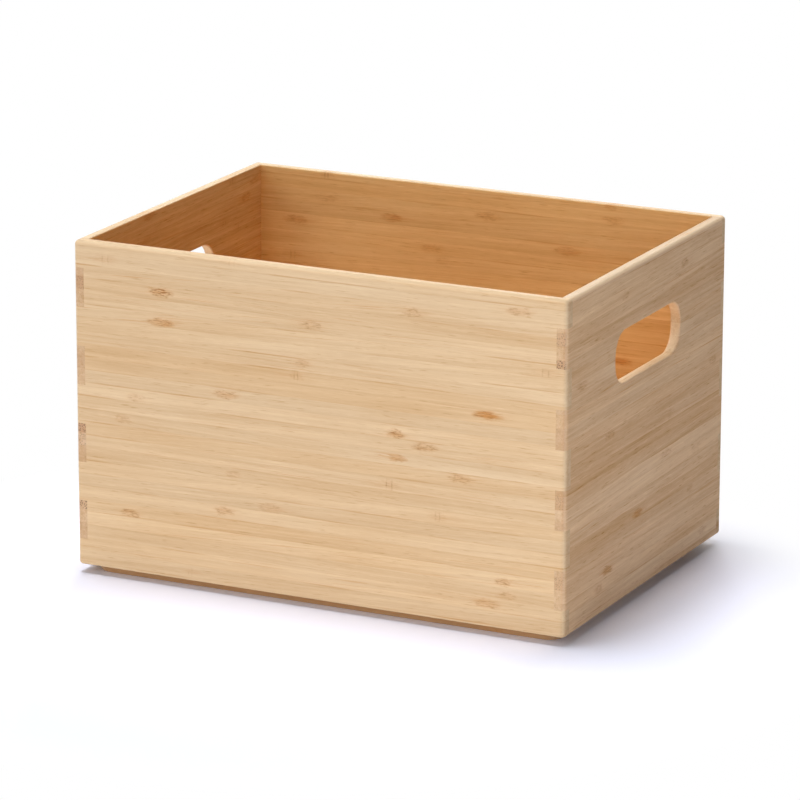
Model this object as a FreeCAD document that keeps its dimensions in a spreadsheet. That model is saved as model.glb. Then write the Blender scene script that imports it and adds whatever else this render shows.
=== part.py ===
import FreeCAD, Part
import os
import Sketcher

# Stackable open box of bamboo boards, millimetres
# Z is up, X runs along the length, the origin is under the middle of the plinth

os.makedirs("parts", exist_ok=True)
doc = FreeCAD.newDocument("stackable_box")

# Driving dimensions
DIMENSIONS = (
    ("box_length", "360"),
    ("box_width", "260"),
    ("wall_height", "225"),
    ("wall_thickness", "7.5"),
    ("corner_radius", "3.2"),
    ("rim_radius", "3"),
    ("rim_inner_radius", "1"),
    ("foot_radius", "2"),
    ("end_finger", "18.4"),
    ("slot_length", "106"),
    ("slot_height", "35.6"),
    ("slot_radius", "15.6"),
    ("slot_drop", "40.4"),
    ("slot_ease", "1.2"),
    ("floor_thickness", "5"),
    ("floor_rise", "6"),
    ("floor_tongue", "3.5"),
    ("floor_play", "0.3"),
    ("plinth_drop", "6"),
    ("plinth_radius", "11"),
    ("plinth_ease", "1"),
    ("stack_clearance", "0.8"),
    ("tool_margin", "5"),
)
# Each short wall shows this many fingers at each corner
FINGERS = 4

sheet = doc.addObject("Spreadsheet::Sheet", "dims")
for row, (alias, value) in enumerate(DIMENSIONS, start=1):
    sheet.set(f"A{row}", alias)
    sheet.set(f"B{row}", value)
    sheet.setAlias(f"B{row}", alias)
doc.recompute()

# Sizes that several boards share, as expressions on the sheet
HALF_LENGTH = "dims.box_length / 2"
HALF_WIDTH = "dims.box_width / 2"
WALL = "dims.wall_thickness"
MARGIN = "dims.tool_margin"
FOOT_LEVEL = "dims.plinth_drop"
RIM_LEVEL = "(dims.plinth_drop + dims.wall_height)"
INNER_LENGTH = "(dims.box_length - 2 * dims.wall_thickness)"
INNER_WIDTH = "(dims.box_width - 2 * dims.wall_thickness)"
FLOOR_LEVEL = "(dims.plinth_drop + dims.floor_rise)"
FINGER = f"((dims.wall_height - 2 * dims.end_finger) / {2 * FINGERS - 1})"

TOLERANCE = 1e-4
# Half size of a rectangle before its expressions set it
ROUGH = 50.0


def plane_of(body, role):
    """Return one of the body's own origin planes."""
    return next(item for item in body.Origin.OriginFeatures if item.Role == role)


def rectangle(body, name, role, wide, high, offset):
    """Draw a rectangle centred on an origin plane, moved by expressions on its local axes."""
    sketch = body.newObject("Sketcher::SketchObject", name)
    sketch.AttachmentSupport = (plane_of(body, role), [""])
    sketch.MapMode = "FlatFace"
    for axis, amount in offset.items():
        sketch.setExpression(f"AttachmentOffset.Base.{axis}", amount)
    signs = ((-1, -1), (1, -1), (1, 1), (-1, 1))
    corners = [FreeCAD.Vector(x * ROUGH, y * ROUGH, 0) for x, y in signs]
    for index in range(4):
        sketch.addGeometry(Part.LineSegment(corners[index], corners[(index + 1) % 4]))
    for index in range(4):
        sketch.addConstraint(Sketcher.Constraint("Coincident", index, 2, (index + 1) % 4, 1))
    for index in (0, 2):
        sketch.addConstraint(Sketcher.Constraint("Horizontal", index))
    for index in (1, 3):
        sketch.addConstraint(Sketcher.Constraint("Vertical", index))
    sketch.addConstraint(Sketcher.Constraint("Symmetric", 0, 1, 2, 1, -1, 1))
    for label, line, kind, amount in (("wide", 0, "DistanceX", wide), ("high", 1, "DistanceY", high)):
        number = sketch.addConstraint(Sketcher.Constraint(kind, line, 1, line, 2, 2 * ROUGH))
        sketch.renameConstraint(number, label)
        sketch.setExpression(f"Constraints.{label}", amount)
    return sketch


def pad(body, name, sketch, length):
    """Raise a sketch by an expression."""
    feature = body.newObject("PartDesign::Pad", name)
    feature.Profile = sketch
    feature.setExpression("Length", length)
    doc.recompute()
    return feature


def pocket_through(body, name, sketch, length):
    """Cut a sketch through both sides of its plane by an expression."""
    feature = body.newObject("PartDesign::Pocket", name)
    feature.Profile = sketch
    feature.SideType = "Symmetric"
    feature.setExpression("Length", length)
    doc.recompute()
    return feature


def ease(body, name, kind, size, wanted):
    """Round or bevel the edges of the body's last feature that pass the test."""
    base = body.Tip
    names = []
    for number, edge in enumerate(base.Shape.Edges, start=1):
        if wanted(edge.BoundBox):
            names.append(f"Edge{number}")
    feature = body.newObject(f"PartDesign::{kind}", name)
    feature.Base = (base, names)
    feature.setExpression("Radius" if kind == "Fillet" else "Size", size)
    doc.recompute()
    return feature


def box(name, size, corner):
    """Make a block whose size and near corner are expressions."""
    block = doc.addObject("Part::Box", name)
    for side, amount in zip(("Length", "Width", "Height"), size):
        block.setExpression(side, amount)
    for axis, amount in zip("xyz", corner):
        block.setExpression(f"Placement.Base.{axis}", amount)
    return block


def fuse(name, shapes):
    """Join shapes into one."""
    joined = doc.addObject("Part::MultiFuse", name)
    joined.Shapes = shapes
    return joined


def common(name, first, second):
    """Keep what two shapes share."""
    shared = doc.addObject("Part::MultiCommon", name)
    shared.Shapes = [first, second]
    return shared


def cut(name, base, tool):
    """Take one shape away from another."""
    left = doc.addObject("Part::Cut", name)
    left.Base = base
    left.Tool = tool
    return left


def near(value, *targets):
    """Tell whether a coordinate is at one of the given places."""
    return any(abs(value - target) < TOLERANCE for target in targets)


# Outline of the four walls once glued up, with the hand slots and the eased edges
walls = doc.addObject("PartDesign::Body", "glued_walls")
outline = rectangle(walls, "outline", "XY_Plane", "dims.box_length", "dims.box_width", {"z": FOOT_LEVEL})
pad(walls, "block", outline, "dims.wall_height")

half_x = sheet.box_length / 2
half_y = sheet.box_width / 2
inner_x = half_x - sheet.wall_thickness
inner_y = half_y - sheet.wall_thickness
foot_z = sheet.plinth_drop
rim_z = foot_z + sheet.wall_height
slot_middle = f"{RIM_LEVEL} - dims.slot_drop - dims.slot_height / 2"


def is_corner(bounds):
    """An upright edge."""
    return near(bounds.ZLength, sheet.wall_height)


def is_slot_end(bounds):
    """A short edge across a wall's thickness."""
    return near(bounds.XLength, sheet.wall_thickness) and near(bounds.YLength + bounds.ZLength, 0)


def is_slot_mouth(bounds):
    """An edge round a slot, on either face of a short wall."""
    on_face = near(bounds.XLength, 0) and near(abs(bounds.XMin), half_x, inner_x)
    return on_face and bounds.ZMin > foot_z + TOLERANCE and bounds.ZMax < rim_z - TOLERANCE


def is_outside(bounds):
    """An edge that reaches past the inner faces of the walls."""
    reach_x = max(abs(bounds.XMin), abs(bounds.XMax))
    reach_y = max(abs(bounds.YMin), abs(bounds.YMax))
    return reach_x > inner_x + TOLERANCE or reach_y > inner_y + TOLERANCE


def is_outer_rim(bounds):
    """An edge of the rim on the outer faces."""
    return near(bounds.ZMin, rim_z) and is_outside(bounds)


def is_inner_rim(bounds):
    """An edge of the rim on the inner faces."""
    return near(bounds.ZMin, rim_z) and not is_outside(bounds)


def is_outer_foot(bounds):
    """A lower edge on the outer faces."""
    return near(bounds.ZMax, foot_z) and is_outside(bounds)


ease(walls, "round_corners", "Fillet", "dims.corner_radius", is_corner)
hollow = rectangle(walls, "hollow", "XY_Plane", INNER_LENGTH, INNER_WIDTH, {"z": FOOT_LEVEL})
pocket_through(walls, "inside", hollow, f"2 * dims.wall_height + 2 * {MARGIN}")
slot = rectangle(walls, "slot", "YZ_Plane", "dims.slot_length", "dims.slot_height", {"y": slot_middle})
pocket_through(walls, "hand_slots", slot, f"dims.box_length + {MARGIN}")
ease(walls, "round_slot_ends", "Fillet", "dims.slot_radius", is_slot_end)
ease(walls, "ease_slots", "Fillet", "dims.slot_ease", is_slot_mouth)
ease(walls, "round_rim", "Fillet", "dims.rim_radius", is_outer_rim)
ease(walls, "ease_inner_rim", "Fillet", "dims.rim_inner_radius", is_inner_rim)
ease(walls, "round_foot", "Fillet", "dims.foot_radius", is_outer_foot)

# Space that each short board fills, between the long boards and in fingers through them
PANEL_DEPTH = f"{WALL} + {MARGIN}"
PANEL_HEIGHT = f"dims.wall_height + 2 * {MARGIN}"
PANEL_BASE = f"{FOOT_LEVEL} - {MARGIN}"
FIRST_LENGTH = f"-{HALF_LENGTH} - {MARGIN}"
LAST_LENGTH = f"{HALF_LENGTH} - {WALL}"
FIRST_WIDTH = f"-{HALF_WIDTH} - {MARGIN}"
LAST_WIDTH = f"{HALF_WIDTH} - {WALL}"

panels = {}
for side, near_x in (("left", FIRST_LENGTH), ("right", LAST_LENGTH)):
    size = (PANEL_DEPTH, INNER_WIDTH, PANEL_HEIGHT)
    blocks = [box(f"{side}_middle", size, (near_x, f"-{INNER_WIDTH} / 2", PANEL_BASE))]
    for corner, near_y in (("front", FIRST_WIDTH), ("back", LAST_WIDTH)):
        for number in range(FINGERS):
            height = f"{FOOT_LEVEL} + dims.end_finger + {2 * number} * {FINGER}"
            name = f"{side}_{corner}_finger_{number + 1}"
            blocks.append(box(name, (PANEL_DEPTH, PANEL_DEPTH, FINGER), (near_x, near_y, height)))
    panels[side] = fuse(f"{side}_panel", blocks)

# Groove round the inside of the walls for the floor's edge
GROOVE_REACH = "(dims.floor_tongue + dims.floor_play)"
groove_size = (
    f"{INNER_LENGTH} + 2 * {GROOVE_REACH}",
    f"{INNER_WIDTH} + 2 * {GROOVE_REACH}",
    "dims.floor_thickness + dims.floor_play",
)
groove_corner = (
    f"-{INNER_LENGTH} / 2 - {GROOVE_REACH}",
    f"-{INNER_WIDTH} / 2 - {GROOVE_REACH}",
    FLOOR_LEVEL,
)
groove = box("floor_groove", groove_size, groove_corner)

# Short walls with the hand slots
boards = []
for side in ("left", "right"):
    board = common(f"{side}_board", walls, panels[side])
    boards.append(cut(f"{side}_wall", board, groove))

# Long walls, notched for the fingers of the short ones
notches = fuse("notches", [panels["left"], panels["right"], groove])
for side, near_y in (("front", FIRST_WIDTH), ("back", LAST_WIDTH)):
    size = (f"dims.box_length + 2 * {MARGIN}", PANEL_DEPTH, PANEL_HEIGHT)
    zone = box(f"{side}_zone", size, (FIRST_LENGTH, near_y, PANEL_BASE))
    board = common(f"{side}_board", walls, zone)
    boards.append(cut(f"{side}_wall", board, notches))

# Floor, held by its edges
floor_size = (
    f"{INNER_LENGTH} + 2 * dims.floor_tongue",
    f"{INNER_WIDTH} + 2 * dims.floor_tongue",
    "dims.floor_thickness",
)
floor_corner = (
    f"-{INNER_LENGTH} / 2 - dims.floor_tongue",
    f"-{INNER_WIDTH} / 2 - dims.floor_tongue",
    FLOOR_LEVEL,
)
boards.append(box("floor_board", floor_size, floor_corner))

# Plinth under the floor, small enough to drop into the rim of a box below
plinth = doc.addObject("PartDesign::Body", "stacking_plinth")
plinth_outline = rectangle(
    plinth,
    "plinth_outline",
    "XY_Plane",
    f"{INNER_LENGTH} - 2 * dims.stack_clearance",
    f"{INNER_WIDTH} - 2 * dims.stack_clearance",
    {},
)
pad(plinth, "plinth_block", plinth_outline, FLOOR_LEVEL)
ease(plinth, "round_plinth", "Fillet", "dims.plinth_radius", lambda b: b.ZLength > TOLERANCE)
ease(plinth, "ease_plinth", "Chamfer", "dims.plinth_ease", lambda b: near(b.ZMax, 0))
boards.append(plinth)

doc.recompute()
for item in doc.Objects:
    if "Invalid" in item.State or "Error" in item.State:
        raise RuntimeError(f"{item.Label} could not be built")
for board in boards:
    shape = board.Shape
    if shape.isNull() or not shape.isValid() or len(shape.Solids) != 1:
        raise RuntimeError(f"{board.Label} is not one sound solid")
    shape.exportStep(f"parts/{board.Label}.step")
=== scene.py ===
import math
from typing import NamedTuple

import bpy
import numpy as np
from bpy.props import FloatProperty, FloatVectorProperty, PointerProperty
from mathutils import Matrix, Vector


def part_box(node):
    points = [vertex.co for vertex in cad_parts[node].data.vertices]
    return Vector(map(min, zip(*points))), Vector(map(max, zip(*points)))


bl_info = {
    "name": "Stackable Bamboo Box",
    "version": (1, 0, 0),
    "blender": (4, 5, 0),
    "location": "View3D > Sidebar > Bamboo Box",
    "description": "Dresses a finger-jointed bamboo box and sets it on a white sweep",
    "category": "Object",
}

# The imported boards, in metres, with their box as the reference for every size below
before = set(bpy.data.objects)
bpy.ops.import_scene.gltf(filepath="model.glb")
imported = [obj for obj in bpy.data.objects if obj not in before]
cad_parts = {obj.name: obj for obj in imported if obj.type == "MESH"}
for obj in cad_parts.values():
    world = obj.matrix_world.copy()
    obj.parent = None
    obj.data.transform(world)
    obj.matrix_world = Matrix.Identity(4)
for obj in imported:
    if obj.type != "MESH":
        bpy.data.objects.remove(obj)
bpy.context.view_layer.update()

# The finishes are worked out in millimetres
MILLIMETRES = 1000.0
AXES = "XYZ"
WHITE = (1.0, 1.0, 1.0, 1.0)
SEEN_RAYS = ("Camera", "Glossy", "Transmission")
SENSOR_MM = 36.0

# Detail and roughness of the noises
FINE_NOISE = (2.0, 0.6)
SOFT_NOISE = (1.0, 0.5)


class Streaks(NamedTuple):
    """Streaks along the fibres, cut from a noise.

    Their length and thickness in millimetres, the layer of the noise, its detail and roughness,
    the values of the noise at which they start and are full, and their strength.
    """

    length: float
    thickness: float
    layer: float = 0.0
    detail: float = 2.0
    roughness: float = 0.6
    start: float = 0.0
    full: float = 1.0
    strength: float = 1.0

    def cut(self, noise):
        """The streaks in a noise."""
        return noise.ramp(self.start, self.full) * self.strength


# Light and dark of the wood, from bands down to single fibres
FIGURE = (
    Streaks(230.0, 3.6, strength=0.42),
    Streaks(60.0, 1.15, detail=3.0, strength=0.20),
    Streaks(9.0, 0.40, strength=0.18),
)
# Short dark dashes, and pale ones between them
DASHES = Streaks(13.0, 0.85, 37.0, roughness=0.55, start=0.60, full=0.76, strength=0.22)
PALE_DASHES = DASHES._replace(start=0.42, full=0.26, strength=0.08)
# Thin brown lines, and which strips have many of them
RESIN = Streaks(70.0, 0.55, 71.0, start=0.60, full=0.74, strength=0.50)
RESINOUS = (0.15, 0.90)
# How much more a darker fibre loses of red, green and blue
WARMTH = (0.64, 1.0, 1.44)

# Steps between the random numbers of a strip, and how far apart in a noise two strips may lie
SECOND_LUCK = 300.5
THIRD_LUCK = 600.5
STRIP_SPREAD = 900.0
# Change of lightness from edge to edge of a strip
STRIP_SLOPE = 0.05
# Slow change of a strip along its length: in millimetres, from strip to strip, and its strength
DRIFT_LENGTH = 90.0
DRIFT_STEP = 3.7
DRIFT_STRENGTH = 0.20
# Waves of the fibres in millimetres, and least and most lean of them
WAVE_LENGTH = 85.0
WAVE_THICKNESS = 16.0
WAVE_HEIGHT = 2.0
FIBRE_LEANS = (-0.015, 0.045)
# Glue lines: how they come and go along the board, how dark and how brown they are
JOINT_LENGTH = 70.0
JOINT_STEP = 5.3
JOINT_SHOWN = (0.46, 0.72)
JOINT_DARKNESS = 0.22
JOINT_STAIN = 0.30

# What a knuckle of the cane looks like on the planed strip
TICKS, FLECKS, SMEAR = 0, 1, 2
KINDS = 3
# Strength of each mark for ticks, flecks and a smear
STAIN_BY_KIND = (0.10, 0.22, 0.36)
TAIL_BY_KIND = (0.26, 0.26, 0.60)
STROKES_BY_KIND = (0.20, 0.72, 0.56)
RING_BY_KIND = (0.0, 0.36, 0.12)
TICKS_BY_KIND = (0.50, 0.10, 0.0)
# A knuckle in millimetres: off the strip's middle, its stray and wobble, its half height,
# and the length and thickness of the noise that shapes it
KNUCKLE_ASIDE = 3.6
KNUCKLE_STRAY = 10.0
KNUCKLE_WOBBLE = 4.4
KNUCKLE_HALF_HEIGHT = 2.1
KNUCKLE_NOISE = (6.0, 2.4)
# Smallest and largest knuckle, as shares of the usual size
KNUCKLE_SIZES = (0.75, 1.35)
# Where a mark ends and where it is full, as the square of the distance from the knuckle
SWELL_AT = (4.0, 0.2)
STAIN_AT = (3.4, 0.1)
STROKES_AT = (2.8, 0.5)
# How far the fibres part round a knuckle
SWELL = 0.35
# Streaks of the tail and strokes of a knuckle, and the tail's place and size
TAIL = Streaks(16.0, 1.15, 11.0, start=0.40, full=0.66)
STROKES = Streaks(5.0, 0.62, start=0.49, full=0.62)
TAIL_AWAY = 10.0
TAIL_LENGTH = 2.0
TAIL_HALF_HEIGHT = 2.2
# A broken ring round a knuckle: its place and width as squares, and where it is drawn
RING_AT = 0.9
RING_WIDTH = 0.30
RING_SHOWN = (0.47, 0.60)
# Paired ticks across the grain, in millimetres, and where they are drawn
TICK_APART = 1.2
TICK_STRAY = 1.4
TICK_WIDTH = 0.40
TICK_HALF_HEIGHT = 2.8
TICK_SHOWN = (0.36, 0.52)
# How strong stains and strokes get
STAIN_STRENGTH = 1.25
STROKE_STRENGTHS = (0.8, 1.4)
MOST_MARKED = 0.85

# Cut ends: how squarely they face along the grain, and how near the board's end they are
CUT_FACING = (0.62, 0.90)
CUT_REACH = (12.0, 10.0)
# Fibre bundles in the cut ends: length, where a dot ends and is full, and its strength
BUNDLE_LENGTH = 260.0
BUNDLE_AT = (0.50, 0.20)
BUNDLE_STRENGTH = 0.8
# How far a cut end differs from the face: at least, by chance, and with its dots
END_LEAST = 0.30
END_CHANCE = 0.45
END_DOTS = 0.50

# How squarely a surface faces out where it counts as an inner face, a wide face, the rim or an edge
INNER_FACING = (0.5, 0.95)
WIDE_FACING = (0.0, 0.5)
RIM_FACING = (0.45, 0.95)
EDGE_FACING = (0.985, 0.80)
# How far the rounded edges are lightened: partly sanded wear, partly a painted highlight
EDGE_WEAR_AND_HIGHLIGHT = 0.14
# How deep the rim's painted shade and the inner faces' painted shade reach, in millimetres
RIM_REACH = (8.0, 5.0)
FACE_MM = 1.5

# Roughness of the lacquer: along a strip, between strips, on pale fibres and on cut ends
GLOSS_SPREAD = 0.16
SHEEN_SPREAD = 0.08
PALE_GLOSS = 0.35
END_ROUGHNESS = 0.12
SPECULAR = 0.05
# Relief of the pores in millimetres, and of the pores and glue lines in height
PORE_LENGTH = 9.0
PORE_THICKNESS = 0.3
PORE_RELIEF = 0.6
JOINT_RELIEF = 0.8
RELIEF_METRES = 0.00012

# Knuckles of the front wall: strip counted from the rim, millimetres from the left end,
# how dark it is, and its kind
FRONT_KNUCKLES = (
    (0, 119, 0.30, TICKS), (1, 24, 0.60, TICKS), (1, 327, 0.60, FLECKS), (2, 250, 0.40, FLECKS),
    (3, 66, 0.95, FLECKS), (4, 177, 0.45, FLECKS), (5, 66, 0.75, SMEAR), (5, 345, 0.45, TICKS),
    (7, 171, 0.45, FLECKS), (8, 166, 0.75, TICKS), (9, 304, 1.00, SMEAR), (10, 114, 0.65, FLECKS),
    (11, 239, 0.95, FLECKS), (11, 46, 0.30, FLECKS), (12, 259, 0.60, FLECKS), (13, 240, 0.75, SMEAR),
    (13, 36, 0.35, FLECKS), (14, 285, 0.60, FLECKS), (15, 234, 0.60, TICKS), (16, 119, 0.30, FLECKS),
    (17, 269, 0.60, TICKS), (18, 147, 0.45, FLECKS), (19, 112, 0.80, FLECKS), (20, 41, 0.50, FLECKS),
    (21, 316, 0.55, FLECKS), (22, 319, 0.45, FLECKS), (23, 304, 0.50, SMEAR), (24, 86, 0.40, TICKS),
)
# Knuckles of the right wall, placed from its front end
RIGHT_KNUCKLES = (
    (2, 188, 0.70, FLECKS), (2, 90, 0.40, FLECKS), (5, 150, 0.30, TICKS), (7, 24, 0.45, FLECKS),
    (11, 241, 0.45, FLECKS), (12, 69, 0.55, FLECKS), (13, 168, 0.70, TICKS), (16, 162, 0.45, FLECKS),
    (17, 214, 0.30, FLECKS), (19, 116, 0.85, SMEAR), (20, 205, 0.35, FLECKS), (22, 68, 0.95, SMEAR),
    (23, 54, 0.55, FLECKS), (24, 226, 0.40, FLECKS),
)
# Strips whose cut ends show plain dots: strip counted from the rim, and how dark they are
LEFT_DOTTED = ((3, 0.35), (14, 0.95), (15, 0.5), (20, 0.95))
RIGHT_DOTTED = ((3, 0.45), (5, 0.95), (15, 0.3), (21, 0.35))
PLAIN_DOTS = 0.10
# A place along the board, as a share of its length, that stands for no knuckle
NO_KNUCKLE = (5.0, 0.0, 0.0)


class Cut(NamedTuple):
    """How a board was cut from its stock.

    The height of its uppermost strip in millimetres, the number that its strips' tones follow from,
    how strong its figure is, its knuckles or else the number that they are scattered by, and the
    strips with plain dots in their cut ends.
    """

    top_strip: float
    seed: int
    figure: float
    knuckles: tuple = ()
    scatter: int = 0
    dotted: tuple = ()


CUTS = {
    "front_wall": Cut(7.0, 11, 1.0, FRONT_KNUCKLES),
    "back_wall": Cut(5.2, 57, 1.25, scatter=5),
    "left_wall": Cut(6.1, 103, 1.7, scatter=8, dotted=LEFT_DOTTED),
    "right_wall": Cut(3.6, 149, 1.55, RIGHT_KNUCKLES, dotted=RIGHT_DOTTED),
    "floor_board": Cut(4.4, 211, 1.1, scatter=211),
    "stacking_plinth": Cut(5.8, 263, 1.1, scatter=263),
}

# Each lamp: name, place, the point it faces, width and height, all in metres
LAMPS = (
    ("top_lamp", (-0.20, -0.05, 2.0), (-0.05, 0, 0.1), (0.8, 0.9)),
    ("key_lamp", (-1.6, -2.6, 1.9), (0, 0, 0.1), (1.6, 1.6)),
    ("front_card", (-0.8, -2.1, 0.25), (0, 0, 0.12), (2.0, 0.45)),
    ("corner_card", (0.60, -0.64, 0.24), (0.17, -0.12, 0.10), (0.30, 0.4)),
    ("back_lamp", (-0.45, 2.3, 1.5), (0, 0, 0.1), (1.6, 1.0)),
)


def spread_knuckles(strips, length, seed):
    """Scatter one or two knuckles along every strip of a board."""
    rng = np.random.default_rng(seed)
    first = rng.uniform(0.05, 0.95, strips) * length
    second = (first + rng.uniform(0.3, 0.7, strips) * length) % length
    dark = rng.uniform(0.2, 0.9, (strips, 2))
    kind = rng.integers(0, KINDS, (strips, 2))
    near = zip(range(strips), first, dark[:, 0], kind[:, 0])
    far = zip(range(0, strips, 2), second[::2], dark[::2, 1], kind[::2, 1])
    return tuple(near) + tuple(far)


def knuckle_stops(knuckles, dotted, strips, length):
    """Turn knuckles into the stops of two ramps: place along the board, darkness, kind and dots."""
    tables = [[NO_KNUCKLE] * strips for _ in range(2)]
    for from_top, place, dark, kind in knuckles:
        row = strips - 1 - from_top
        table = tables[0] if tables[0][row] == NO_KNUCKLE else tables[1]
        table[row] = (place / length, dark, kind / KINDS)
    dots = [dict(dotted).get(strips - 1 - row, PLAIN_DOTS) for row in range(strips)]
    tables = [[(*numbers, dot) for numbers, dot in zip(table, dots)] for table in tables]
    return [[(row / strips, numbers) for row, numbers in enumerate(table)] for table in tables]


def pick(factor, first, second):
    """The first value where factor is 0, the second where it is 1."""
    return first + (second - first) * factor


class Value:
    """A number over a surface. Arithmetic on it adds Math nodes to its finish."""

    def __init__(self, finish, socket):
        self.finish = finish
        self.socket = socket

    def math(self, operation, *values):
        return self.finish.node("ShaderNodeMath", {"operation": operation}, dict(enumerate(values)))

    def __add__(self, other):
        return self.math("ADD", self, other)

    __radd__ = __add__

    def __sub__(self, other):
        return self.math("SUBTRACT", self, other)

    def __rsub__(self, other):
        return self.math("SUBTRACT", other, self)

    def __mul__(self, other):
        return self.math("MULTIPLY", self, other)

    __rmul__ = __mul__

    def __truediv__(self, other):
        return self.math("DIVIDE", self, other)

    def __lt__(self, other):
        return self.math("LESS_THAN", self, other)

    def __abs__(self):
        return self.math("ABSOLUTE", self)

    def floor(self):
        return self.math("FLOOR", self)

    def at_most(self, other):
        return self.math("MINIMUM", self, other)

    def at_least(self, other):
        return self.math("MAXIMUM", self, other)

    def near(self, target):
        """1 where the value is within half of a number, else 0."""
        return self.math("COMPARE", self, target, 0.5)

    def bell(self, width):
        """exp(-(value / width) squared)."""
        ratio = self / width
        return self.math("EXPONENT", ratio * ratio * -1.0)

    def ramp(self, low, high):
        """Rise smoothly from 0 to 1 as the value goes from low to high."""
        inputs = {"Value": self, "From Min": low, "From Max": high}
        return self.finish.node("ShaderNodeMapRange", {"interpolation_type": "SMOOTHSTEP"}, inputs)


class Finish:
    """A node tree under construction, of a material or of the world."""

    def __init__(self, tree):
        self.tree = tree
        tree.nodes.clear()

    def node(self, kind, settings, inputs, output=0):
        """Add a node: its settings first, then its sockets' values or links. Return one output."""
        made = self.tree.nodes.new(kind)
        for name, setting in settings.items():
            if name == "stops":
                self.fill_ramp(made.color_ramp, setting)
            else:
                setattr(made, name, setting)
        for name, given in inputs.items():
            if isinstance(given, Value):
                self.tree.links.new(given.socket, made.inputs[name])
            else:
                made.inputs[name].default_value = given
        return Value(self, made.outputs[output]) if made.outputs else None

    def fill_ramp(self, ramp, stops):
        """Give a constant ramp its stops, each a place and four numbers."""
        ramp.interpolation = "CONSTANT"
        while len(ramp.elements) < len(stops):
            ramp.elements.new(1.0)
        for element, (place, numbers) in zip(ramp.elements, stops):
            element.position = place
            element.color = numbers

    def split(self, kind, vector, names):
        """Take a vector or colour apart."""
        return [self.node(kind, {}, {0: vector}, name) for name in names]

    def split_colour(self, colour):
        return self.split("ShaderNodeSeparateColor", colour, ("Red", "Green", "Blue"))

    def join(self, x, y, z):
        return self.node("ShaderNodeCombineXYZ", {}, {0: x, 1: y, 2: z})

    def noise(self, vector, detail, roughness, output="Fac"):
        inputs = {"Vector": vector, "Scale": 1.0, "Detail": detail, "Roughness": roughness}
        return self.node("ShaderNodeTexNoise", {"noise_dimensions": "3D"}, inputs, output)

    def noises(self, vector, detail, roughness):
        """Three noises at once."""
        return self.split_colour(self.noise(vector, detail, roughness, "Color"))

    def luck(self, number):
        """Three random numbers that go with a number."""
        white = self.node("ShaderNodeTexWhiteNoise", {"noise_dimensions": "1D"}, {"W": number}, "Color")
        return self.split_colour(white)

    def blend(self, factor, first, second, kind="MIX"):
        """Mix two colours."""
        settings = {"data_type": "RGBA", "blend_type": kind}
        return self.node("ShaderNodeMix", settings, {0: factor, 6: first, 7: second}, 2)

    def tinted(self, colour, tint):
        """What a tint keeps of a colour."""
        return self.blend(1.0, colour, tint, "MULTIPLY")

    def mix_shaders(self, factor, first, second):
        return self.node("ShaderNodeMixShader", {}, {0: factor, 1: first, 2: second})

    def seen(self):
        """1 for rays from the camera and for reflections, 0 for rays that carry soft light."""
        camera, glossy, through = (
            self.node("ShaderNodeLightPath", {}, {}, f"Is {kind} Ray") for kind in SEEN_RAYS
        )
        return camera.at_least(glossy).at_least(through)


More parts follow.
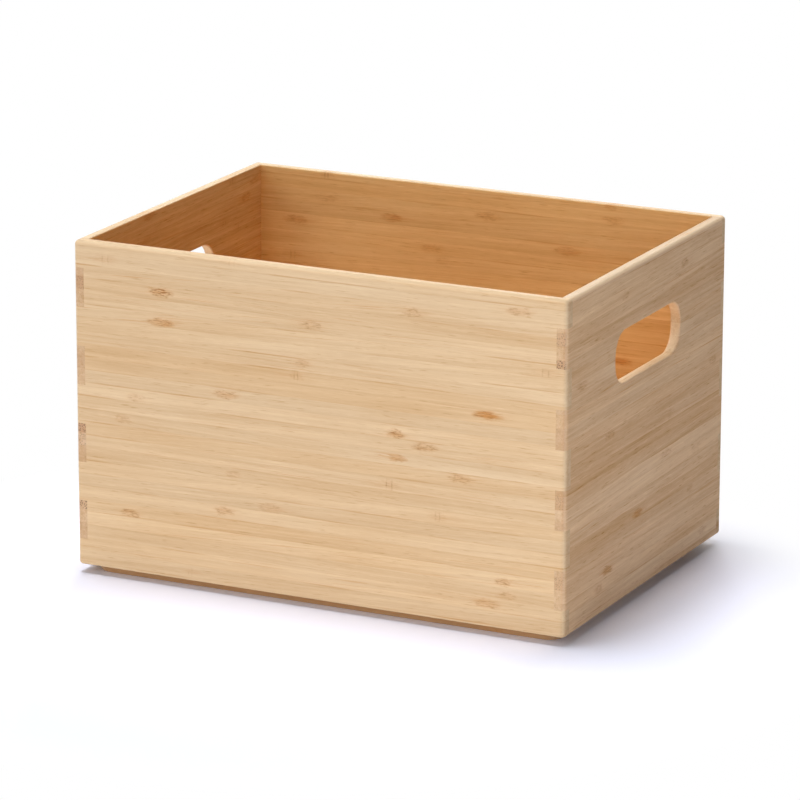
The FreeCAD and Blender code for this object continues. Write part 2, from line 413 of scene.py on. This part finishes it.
class Bamboo(Finish):
    """Plain-pressed bamboo: strips glued edge to edge, fibres along them, knuckles and end grain.

    axes names the object axes along the grain, across the strips and through the board. outer is -1
    or 1, the side of the last axis on which the outer face is. tints are painted shade: what the wide
    faces, the narrow sides and the rim keep of the colour. The inner faces get painted shade as well.
    end_contrast is how far the cut ends stand out.
    """

    def __init__(self, tree, look, node, axes, outer, shade_tints, end_contrast):
        super().__init__(tree)
        self.look = look
        self.cut = CUTS[node]
        self.axes = axes
        self.shade_tints = shade_tints
        self.end_contrast = end_contrast
        low, high = (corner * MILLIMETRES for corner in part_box(node))
        ends, self.strips_at, faces = ((low[i], high[i]) for i in map(AXES.index, axes))
        self.length = ends[1] - ends[0]
        skins = (faces[0] + FACE_MM, faces[1] - FACE_MM)
        self.faces_at = skins if outer < 0 else skins[::-1]
        place = self.node("ShaderNodeTexCoord", {}, {}, "Object")
        settings = {"operation": "SCALE"}
        place = self.node("ShaderNodeVectorMath", settings, {0: place, "Scale": MILLIMETRES})
        self.along, self.across, self.through = self.by_axis(place)
        self.find_strip()
        self.find_knuckle()
        self.run_fibres()

    def by_axis(self, vector):
        """A vector's parts along the grain, across the strips and through the board."""
        parts = dict(zip(AXES, self.split("ShaderNodeSeparateXYZ", vector, AXES)))
        return [parts[axis] for axis in self.axes]

    def find_strip(self):
        """Which strip it is, where in it, and the strip's own random numbers."""
        pitch = self.look.strip_height
        bottom, top = self.strips_at
        self.strips = 1 + math.ceil((top - self.cut.top_strip - bottom) / pitch)
        base = top - self.cut.top_strip - (self.strips - 1) * pitch
        self.count = (self.across - base) / pitch
        self.row = self.count.floor()
        self.part = self.count - self.row
        seed = self.cut.seed
        self.tone, self.hue, shift = self.luck(self.row + seed)
        self.lean, self.fade, self.sheen = self.luck(self.row + (seed + SECOND_LUCK))
        self.aside, self.size, self.grey = self.luck(self.row + (seed + THIRD_LUCK))
        self.offset = shift * STRIP_SPREAD
        self.side = self.lean * 2.0 - 1.0

    def find_knuckle(self):
        """The nearer of the strip's two knuckles, and an oval round it."""
        cut = self.cut
        knuckles = cut.knuckles or spread_knuckles(self.strips, self.length, cut.scatter)
        of_row = (self.row + 0.5) / self.strips
        from_end = self.along + self.length / 2
        found = []
        for stops in knuckle_stops(knuckles, cut.dotted, self.strips, self.length):
            ramp = self.node("ShaderNodeValToRGB", {"stops": stops}, {0: of_row}, "Color")
            at, dark, kind = self.split_colour(ramp)
            found.append((from_end - at * self.length, dark, kind * KINDS))
        self.dots = self.node("ShaderNodeValToRGB", {"stops": stops}, {0: of_row}, "Alpha")
        other = abs(found[1][0]) < abs(found[0][0])
        self.away, self.dark, kind = (pick(other, *pair) for pair in zip(*found))
        self.flecked = kind.near(FLECKS)
        self.smeared = kind.near(SMEAR)
        length, thickness = KNUCKLE_NOISE
        shape_at = (self.along / length, self.across / thickness, self.through / thickness + self.offset)
        wander, wobble, self.gate = self.noises(self.join(*shape_at), *FINE_NOISE)
        self.wander = wander - 0.5
        self.off_middle = (self.part - 0.5) * self.look.strip_height - (self.aside - 0.5) * KNUCKLE_ASIDE
        half_length = self.look.knuckle_size * pick(self.size, *KNUCKLE_SIZES)
        stretch = (self.away + self.wander * KNUCKLE_STRAY) / half_length
        rise = (self.off_middle + (wobble - 0.5) * KNUCKLE_WOBBLE) / KNUCKLE_HALF_HEIGHT
        self.oval = stretch * stretch + rise * rise

    def run_fibres(self):
        """Fibres lean and wave a little, and part round a knuckle."""
        across, through = self.across / WAVE_THICKNESS, self.through / WAVE_THICKNESS
        wave_at = self.join(self.along / WAVE_LENGTH + self.offset, across, through)
        wave = self.noise(wave_at, *SOFT_NOISE) - 0.5
        parted = self.off_middle * self.oval.ramp(*SWELL_AT) * self.dark * SWELL
        lean = self.along * pick(self.lean, *FIBRE_LEANS)
        self.fibre = self.across - lean + wave * WAVE_HEIGHT + parted
        self.depth = self.through + self.offset

    def fibres(self, streaks, along):
        """A noise drawn out along the fibres."""
        start = along / streaks.length + self.offset
        fibre = self.fibre / streaks.thickness
        depth = self.depth / streaks.thickness + streaks.layer
        return self.noise(self.join(start, fibre, depth), streaks.detail, streaks.roughness)

    def by_kind(self, strengths):
        """The strength that goes with the kind of the knuckle."""
        ticks, flecks, smear = strengths
        return ticks + self.flecked * (flecks - ticks) + self.smeared * (smear - ticks)

    def glue_line(self):
        """The line between two strips, strong in places."""
        to_joint = self.part.at_most(1.0 - self.part) * self.look.strip_height
        joint_at = (self.along / JOINT_LENGTH, (self.count + 0.5).floor() * JOINT_STEP, self.cut.seed)
        shown = self.noise(self.join(*joint_at), *FINE_NOISE).ramp(*JOINT_SHOWN)
        return to_joint.bell(self.look.joint_width) * shown

    def lightness(self, drift, joint):
        """How much lighter or darker than its colour the wood is."""
        light = (self.tone - 0.5) * self.look.strip_contrast + (self.part - 0.5) * self.side * STRIP_SLOPE
        for streaks in FIGURE:
            light = light + (self.fibres(streaks, self.along) - 0.5) * streaks.strength
        dash = self.fibres(DASHES, self.along)
        light = light - DASHES.cut(dash) + PALE_DASHES.cut(dash)
        light = light + (drift - 0.5) * DRIFT_STRENGTH
        return light * self.cut.figure - joint * JOINT_DARKNESS

    def stained(self, joint):
        """Warm stains: round the knuckles, with a tail, in resin lines and along glue lines."""
        tail = (self.away - self.side * TAIL_AWAY).bell(self.look.knuckle_size * TAIL_LENGTH)
        tail = tail * self.off_middle.bell(TAIL_HALF_HEIGHT) * TAIL.cut(self.fibres(TAIL, self.away))
        stain = self.oval.ramp(*STAIN_AT) * self.by_kind(STAIN_BY_KIND) + tail * self.by_kind(TAIL_BY_KIND)
        lines = RESIN.cut(self.fibres(RESIN, self.along)) * self.grey.ramp(*RESINOUS) * self.cut.figure
        stain = stain * self.dark * STAIN_STRENGTH + lines + joint * JOINT_STAIN
        return stain.at_most(MOST_MARKED)

    def burnt(self):
        """Dark marks of the knuckles: strokes, a broken ring and paired ticks."""
        strokes = STROKES.cut(self.fibres(STROKES, self.away)) * self.oval.ramp(*STROKES_AT)
        ring = (self.oval - RING_AT).bell(RING_WIDTH) * self.gate.ramp(*RING_SHOWN)
        tick = abs(self.away + self.wander * TICK_STRAY) - (self.size + TICK_APART)
        tick = tick.bell(TICK_WIDTH) * self.off_middle.bell(TICK_HALF_HEIGHT) * self.gate.ramp(*TICK_SHOWN)
        marks = strokes * self.by_kind(STROKES_BY_KIND) + ring * self.by_kind(RING_BY_KIND)
        marks = marks + tick * self.by_kind(TICKS_BY_KIND)
        return (marks * self.dark * pick(self.grey, *STROKE_STRENGTHS)).at_most(MOST_MARKED)

    def bundles(self):
        """Fibre bundles as dots, where the fibres are cut across."""
        spacing = self.look.bundle_size
        cells = (self.along / BUNDLE_LENGTH + self.offset, self.fibre / spacing, self.depth / spacing)
        inputs = {"Vector": self.join(*cells), "Scale": 1.0}
        distance = self.node("ShaderNodeTexVoronoi", {"feature": "F1"}, inputs, "Distance")
        return distance.ramp(*BUNDLE_AT) * self.dots * BUNDLE_STRENGTH

    def lacquer(self):
        """Join everything into the shader."""
        look = self.look
        drift_at = (self.along / DRIFT_LENGTH + self.offset, self.row * DRIFT_STEP, self.cut.seed)
        drift, warmth, gloss = self.noises(self.join(*drift_at), *SOFT_NOISE)
        joint = self.glue_line()
        light = self.lightness(drift, joint)

        # How the surface lies: a cut end, a rounded edge, a face inside the box, or the rim
        normal = self.node("ShaderNodeNewGeometry", {}, {}, "Normal")
        endwise, rimwise, outwards = self.by_axis(normal)
        end_at = (self.length / 2 - reach for reach in CUT_REACH)
        cut = abs(endwise).ramp(*CUT_FACING) * abs(self.along).ramp(*end_at)
        end = cut * self.end_contrast
        edge = abs(endwise).at_least(abs(rimwise)).at_least(abs(outwards)).ramp(*EDGE_FACING)
        # The inner faces, where painted shade goes
        inside = self.through.ramp(*self.faces_at) * abs(outwards).ramp(*INNER_FACING)
        # The rim along the top edge, where painted shade goes
        rim_at = (self.strips_at[1] - reach for reach in RIM_REACH)
        rim = rimwise.ramp(*RIM_FACING) * self.across.ramp(*rim_at)

        # Painted shade: the wide faces, the narrow sides and the rim keep only their tint's share of the
        # colour
        face_shade, side_shade, rim_shade = self.shade_tints
        tint = self.blend(abs(outwards).ramp(*WIDE_FACING), side_shade, face_shade)
        tint = self.blend(rim, tint, rim_shade)
        red, green, blue = (light * strength + 1.0 for strength in WARMTH)
        shading = self.node("ShaderNodeCombineColor", {}, {0: red, 1: green, 2: blue})
        colour = self.blend((self.hue + warmth) / 2.0, look.pale, look.honey)
        # Painted shade: the inner faces keep less of the colour
        colour = self.blend(inside, colour, self.tinted(colour, look.inner_shade_tint))
        # The painted shade of the tints, then the grain's light and dark
        colour = self.tinted(self.tinted(colour, tint), shading)
        colour = self.blend(self.stained(joint), colour, look.stain)
        colour = self.blend(self.burnt(), colour, look.burnt)
        ending = end * (END_LEAST + self.fade * END_CHANCE + self.dots * END_DOTS)
        colour = self.blend(ending, colour, look.end_grain)
        colour = self.blend(self.bundles() * cut, colour, look.bundle)
        # Sanded wear and a painted highlight along the rounded edges
        colour = self.blend(edge * EDGE_WEAR_AND_HIGHLIGHT, colour, look.worn_and_highlight)

        rough = look.roughness + (gloss - 0.5) * GLOSS_SPREAD + (self.sheen - 0.5) * SHEEN_SPREAD
        rough = rough - light * PALE_GLOSS + end * END_ROUGHNESS
        across, depth = self.across / PORE_THICKNESS, self.depth / PORE_THICKNESS
        pores = self.noise(self.join(self.along / PORE_LENGTH, across, depth), *FINE_NOISE)
        height = pores * PORE_RELIEF - joint * JOINT_RELIEF
        relief = {"Strength": look.grain_depth, "Distance": RELIEF_METRES, "Height": height}
        skin = {
            "Base Color": colour,
            "Roughness": rough,
            "Normal": self.node("ShaderNodeBump", {}, relief),
            "Specular IOR Level": SPECULAR,
        }
        shader = self.node("ShaderNodeBsdfPrincipled", {}, skin)
        self.node("ShaderNodeOutputMaterial", {}, {"Surface": shader})


def new_material(name):
    """A material that is made of nodes."""
    material = bpy.data.materials.new(name)
    material.use_nodes = True
    return material


def dress(node, look, *how):
    """Put bamboo into a board's slot."""
    material = new_material(f"{node}_bamboo")
    Bamboo(material.node_tree, look, node, *how).lacquer()
    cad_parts[node].material_slots[0].material = material


class BambooLook(bpy.types.PropertyGroup):
    """Look of the lacquered bamboo."""

    strip_height: FloatProperty(
        name="Strip height", description="Height of one glued strip in millimetres", default=9.0, min=8.5)
    joint_width: FloatProperty(
        name="Glue line", description="Width of the line between strips in millimetres", default=0.38)
    bundle_size: FloatProperty(
        name="Fibre bundle", description="Spacing of the fibre bundles in millimetres", default=1.2)
    knuckle_size: FloatProperty(
        name="Knuckle size", description="Half length of a knuckle along the grain in millimetres",
        default=5.2)
    strip_contrast: FloatProperty(
        name="Strip contrast", description="Difference in lightness between strips", default=0.13,
        subtype="FACTOR")
    roughness: FloatProperty(
        name="Roughness", description="Roughness of the lacquer", default=0.44, subtype="FACTOR")
    grain_depth: FloatProperty(
        name="Grain depth", description="Strength of the relief of the grain", default=0.35, subtype="FACTOR")
    long_end_contrast: FloatProperty(
        name="Long wall ends", description="How far the ends of the long walls stand out", default=0.30,
        subtype="FACTOR")
    short_end_contrast: FloatProperty(
        name="Short wall ends", description="How far the ends of the short walls stand out", default=0.75,
        subtype="FACTOR")
    pale: FloatVectorProperty(
        name="Pale strip", description="Colour of the palest strips", subtype="COLOR", size=4,
        default=(0.835, 0.620, 0.402, 1.0), min=0.0, max=1.0)
    honey: FloatVectorProperty(
        name="Honey strip", description="Colour of the warmest strips", subtype="COLOR", size=4,
        default=(0.808, 0.548, 0.308, 1.0), min=0.0, max=1.0)
    # Painted shade: the inner faces keep less of the colour, darker and warmer, as shade and warm bounce
    # light inside the box
    inner_shade_tint: FloatVectorProperty(
        name="Inner tint", description="What the inner faces keep of the colour", subtype="COLOR", size=4,
        default=(1.0, 0.905, 0.65, 1.0), min=0.0, max=1.0)
    # Painted shade: the left wall's faces keep a little less of the colour
    left_wall_shade: FloatVectorProperty(
        name="Left wall tint", description="What the left wall keeps of the colour", subtype="COLOR", size=4,
        default=(0.95, 0.93, 0.99, 1.0), min=0.0, max=1.0)
    # Painted shade: the right wall's faces keep less of the colour
    right_wall_shade: FloatVectorProperty(
        name="Right wall tint", description="What the right wall keeps of the colour", subtype="COLOR",
        size=4, default=(1.0, 0.925, 0.90, 1.0), min=0.0, max=1.0)
    # Painted shade: the plinth keeps much less of the colour, as if in shade under the walls
    plinth_shade: FloatVectorProperty(
        name="Plinth tint", description="What the plinth keeps of the colour", subtype="COLOR", size=4,
        default=(0.64, 0.50, 0.40, 1.0), min=0.0, max=1.0)
    # Painted shade: the rim's top keeps less of the colour, toning down its light from above
    rim_shade: FloatVectorProperty(
        name="Rim tint", description="What the planed rim keeps of the colour", subtype="COLOR",
        size=4, default=(0.86, 0.87, 0.87, 1.0), min=0.0, max=1.0)
    # Painted shade: the right wall's rim keeps much less of the colour
    right_rim_shade: FloatVectorProperty(
        name="Right rim tint", description="What the rim of the right wall keeps of the colour",
        subtype="COLOR", size=4, default=(0.68, 0.63, 0.55, 1.0), min=0.0, max=1.0)
    stain: FloatVectorProperty(
        name="Stain", description="Colour of the stain round a knuckle", subtype="COLOR", size=4,
        default=(0.66, 0.28, 0.07, 1.0), min=0.0, max=1.0)
    burnt: FloatVectorProperty(
        name="Burnt marks", description="Colour of the dark strokes of a knuckle", subtype="COLOR", size=4,
        default=(0.43, 0.165, 0.04, 1.0), min=0.0, max=1.0)
    end_grain: FloatVectorProperty(
        name="End grain", description="Colour of the cut ends", subtype="COLOR", size=4,
        default=(0.60, 0.345, 0.205, 1.0), min=0.0, max=1.0)
    bundle: FloatVectorProperty(
        name="Fibre bundle colour", description="Colour of the dots in the cut ends", subtype="COLOR", size=4,
        default=(0.17, 0.075, 0.04, 1.0), min=0.0, max=1.0)
    # Partly sanded wear, partly a painted highlight along the rounded edges
    worn_and_highlight: FloatVectorProperty(
        name="Sanded edge", description="Colour of the sanded edges", subtype="COLOR", size=4,
        default=(1.0, 0.88, 0.68, 1.0), min=0.0, max=1.0)


class StageLook(bpy.types.PropertyGroup):
    """White sweep, lamps and camera."""

    floor_size: FloatProperty(
        name="Floor size", description="Half width of the floor", default=6.0, unit="LENGTH")
    floor_colour: FloatVectorProperty(
        name="Floor colour", description="Colour of the paper under the box", subtype="COLOR", size=4,
        default=(0.86, 0.86, 0.87, 1.0), min=0.0, max=1.0)
    floor_shown: FloatVectorProperty(
        name="Floor as shown", description="Colour of the paper as the camera is exposed for it",
        subtype="COLOR", size=4, default=(1.03, 1.07, 1.25, 1.0), min=0.0, max=2.0)
    shadow_middle: FloatVectorProperty(
        name="Shadow middle", description="Place on the floor round which it shows a shadow", size=3,
        default=(0.0, -0.12, 0.0), subtype="TRANSLATION", unit="LENGTH")
    shadow_reach: FloatProperty(
        name="Shadow reach", description="Radius within which the floor shows a shadow", default=0.27,
        unit="LENGTH")
    shadow_end: FloatProperty(
        name="Shadow end", description="Radius beyond which the floor is plain white", default=0.37,
        unit="LENGTH")
    top_strength: FloatProperty(
        name="Top lamp", description="Power of the lamp overhead in watts", default=31.0)
    key_strength: FloatProperty(
        name="Key lamp", description="Power of the lamp at the front left in watts", default=23.5)
    front_strength: FloatProperty(
        name="Front card", description="Power of the low card in front in watts", default=12.0)
    corner_strength: FloatProperty(
        name="Corner card", description="Power of the low card at the right corner in watts", default=1.15)
    back_strength: FloatProperty(
        name="Back lamp", description="Power of the lamp behind in watts", default=36.0)
    room_strength: FloatProperty(
        name="Room light", description="Strength of the light from all round", default=0.0)
    camera_azimuth: FloatProperty(
        name="Camera azimuth", description="Turn of the camera from the front", default=math.radians(26.219),
        subtype="ANGLE")
    camera_elevation: FloatProperty(
        name="Camera elevation", description="Height of the camera above the horizon",
        default=math.radians(15.687), subtype="ANGLE")
    camera_roll: FloatProperty(
        name="Camera roll", description="Tilt of the picture", default=math.radians(0.124), subtype="ANGLE")
    camera_distance: FloatProperty(
        name="Camera distance", description="From the middle of the walls", default=3.3952, unit="LENGTH")
    camera_aside: FloatProperty(
        name="Camera aside", description="How far the camera is moved to its left", default=0.00205,
        unit="LENGTH")
    camera_lower: FloatProperty(
        name="Camera lower", description="How far the camera is moved down", default=0.00747, unit="LENGTH")
    camera_lens: FloatProperty(
        name="Focal length", description="Focal length in millimetres", default=225.955)


class BOX_OT_long_walls(bpy.types.Operator):
    """Dress the front and back walls"""

    bl_idname = "bamboo_box.long_walls"
    bl_label = "Long Walls"

    def execute(self, context):
        look = context.scene.bamboo_look
        # Painted shade on the rim of the long walls only
        shade_tints = (WHITE, WHITE, look.rim_shade)
        dress("front_wall", look, "XZY", -1, shade_tints, look.long_end_contrast)
        dress("back_wall", look, "XZY", 1, shade_tints, look.long_end_contrast)
        return {"FINISHED"}


class BOX_OT_short_walls(bpy.types.Operator):
    """Dress the left and right walls"""

    bl_idname = "bamboo_box.short_walls"
    bl_label = "Short Walls"

    def execute(self, context):
        look = context.scene.bamboo_look
        # Painted shade: the left wall, the right wall and the right wall's rim keep less of the colour
        left_shade_tints = (look.left_wall_shade, WHITE, look.rim_shade)
        right_shade_tints = (look.right_wall_shade, WHITE, look.right_rim_shade)
        dress("left_wall", look, "YZX", -1, left_shade_tints, look.short_end_contrast)
        dress("right_wall", look, "YZX", 1, right_shade_tints, look.short_end_contrast)
        return {"FINISHED"}


class BOX_OT_floor_board(bpy.types.Operator):
    """Dress the floor and the plinth"""

    bl_idname = "bamboo_box.floor_board"
    bl_label = "Floor and Plinth"

    def execute(self, context):
        look = context.scene.bamboo_look
        # Painted shade all over the plinth; the floor board keeps its colour
        for node, tint in (("floor_board", WHITE), ("stacking_plinth", look.plinth_shade)):
            dress(node, look, "XYZ", -1, (tint, tint, tint), look.long_end_contrast)
        return {"FINISHED"}


def lamp(name, place, target, size, power):
    """Hang a rectangular soft lamp that faces a point."""
    data = bpy.data.lights.new(name, "AREA")
    data.shape = "RECTANGLE"
    data.size, data.size_y = size
    data.energy = power
    made = bpy.data.objects.new(name, data)
    aim = (Vector(target) - Vector(place)).to_track_quat("-Z", "Y").to_matrix().to_4x4()
    made.matrix_world = Matrix.Translation(Vector(place)) @ aim
    bpy.context.scene.collection.objects.link(made)


class BOX_OT_stage(bpy.types.Operator):
    """Lay the white floor, hang the lamps and place the camera"""

    bl_idname = "bamboo_box.stage"
    bl_label = "Stage"

    def execute(self, context):
        look = context.scene.box_stage
        self.lay_floor(look)
        self.light_room(context.scene, look)
        powers = (
            look.top_strength, look.key_strength, look.front_strength,
            look.corner_strength, look.back_strength,
        )
        for made, power in zip(LAMPS, powers):
            lamp(*made, power)
        self.place_camera(context.scene, look)
        return {"FINISHED"}

    def lay_floor(self, look):
        """A square at the level of the plinth's underside, plain white away from the box."""
        half = look.floor_size
        corners = np.array([(-half, -half, 0), (half, -half, 0), (half, half, 0), (-half, half, 0)])
        mesh = bpy.data.meshes.new("floor")
        mesh.from_pydata(corners, [], [(0, 1, 2, 3)])
        floor = bpy.data.objects.new("floor", mesh)
        bpy.context.scene.collection.objects.link(floor)
        material = new_material("white_floor")
        finish = Finish(material.node_tree)
        ends = {0: finish.node("ShaderNodeTexCoord", {}, {}, "Object"), 1: look.shadow_middle}
        away = finish.node("ShaderNodeVectorMath", {"operation": "DISTANCE"}, ends, "Value")
        far = away.ramp(look.shadow_reach, look.shadow_end)
        plain = finish.node("ShaderNodeBsdfDiffuse", {}, {"Color": look.floor_colour})
        shown = finish.node("ShaderNodeBsdfDiffuse", {}, {"Color": look.floor_shown})
        white = finish.node("ShaderNodeEmission", {}, {"Color": WHITE, "Strength": 1.0})
        seen = finish.seen()
        near = finish.mix_shaders(seen, plain, shown)
        surface = finish.mix_shaders(far * seen, near, white)
        finish.node("ShaderNodeOutputMaterial", {}, {"Surface": surface})
        mesh.materials.append(material)

    def light_room(self, scene, look):
        """Even light from all round, white to the camera and in reflections."""
        world = bpy.data.worlds.new("studio")
        world.use_nodes = True
        finish = Finish(world.node_tree)
        room = finish.node("ShaderNodeBackground", {}, {"Color": WHITE, "Strength": look.room_strength})
        backdrop = finish.node("ShaderNodeBackground", {}, {"Color": WHITE, "Strength": 1.0})
        both = finish.mix_shaders(finish.seen(), room, backdrop)
        finish.node("ShaderNodeOutputWorld", {}, {"Surface": both})
        scene.world = world

    def place_camera(self, scene, look):
        """Look at the middle of the walls from the given angles."""
        azimuth, elevation = look.camera_azimuth, look.camera_elevation
        back = Vector((
            math.sin(azimuth) * math.cos(elevation),
            -math.cos(azimuth) * math.cos(elevation),
            math.sin(elevation),
        ))
        right = Vector((0, 0, 1)).cross(back).normalized()
        up = back.cross(right)
        roll = look.camera_roll
        turned_right = math.cos(roll) * right + math.sin(roll) * up
        turned_up = -math.sin(roll) * right + math.cos(roll) * up
        foot, rim = (corner.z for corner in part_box("front_wall"))
        target = Vector((0, 0, (foot + rim) / 2))
        moved = turned_right * look.camera_aside + turned_up * look.camera_lower
        place = target + back * look.camera_distance - moved
        data = bpy.data.cameras.new("camera")
        data.lens = look.camera_lens
        data.sensor_width = SENSOR_MM
        camera = bpy.data.objects.new("camera", data)
        turn = Matrix((turned_right, turned_up, back)).transposed().to_4x4()
        camera.matrix_world = Matrix.Translation(place) @ turn
        scene.collection.objects.link(camera)
        scene.camera = camera


class BOX_PT_panel(bpy.types.Panel):
    """Buttons for the pieces of the box and its stage"""

    bl_label = "Bamboo Box"
    bl_idname = "BOX_PT_panel"
    bl_space_type = "VIEW_3D"
    bl_region_type = "UI"
    bl_category = "Bamboo Box"

    def draw(self, context):
        for operator in OPERATORS:
            self.layout.operator(operator.bl_idname)
        for group in (context.scene.bamboo_look, context.scene.box_stage):
            for name in group.__annotations__:
                self.layout.prop(group, name)


OPERATORS = (
    BOX_OT_long_walls,
    BOX_OT_short_walls,
    BOX_OT_floor_board,
    BOX_OT_stage,
)
CLASSES = (BambooLook, StageLook, *OPERATORS, BOX_PT_panel)


def register():
    for cls in CLASSES:
        bpy.utils.register_class(cls)
    bpy.types.Scene.bamboo_look = PointerProperty(type=BambooLook)
    bpy.types.Scene.box_stage = PointerProperty(type=StageLook)


def unregister():
    del bpy.types.Scene.box_stage
    del bpy.types.Scene.bamboo_look
    for cls in reversed(CLASSES):
        bpy.utils.unregister_class(cls)


def main():
    """Register the add-on and make every piece."""
    register()
    bpy.context.scene.view_settings.view_transform = "Standard"
    bpy.ops.bamboo_box.long_walls()
    bpy.ops.bamboo_box.short_walls()
    bpy.ops.bamboo_box.floor_board()
    bpy.ops.bamboo_box.stage()


if __name__ == "__main__":
    main()
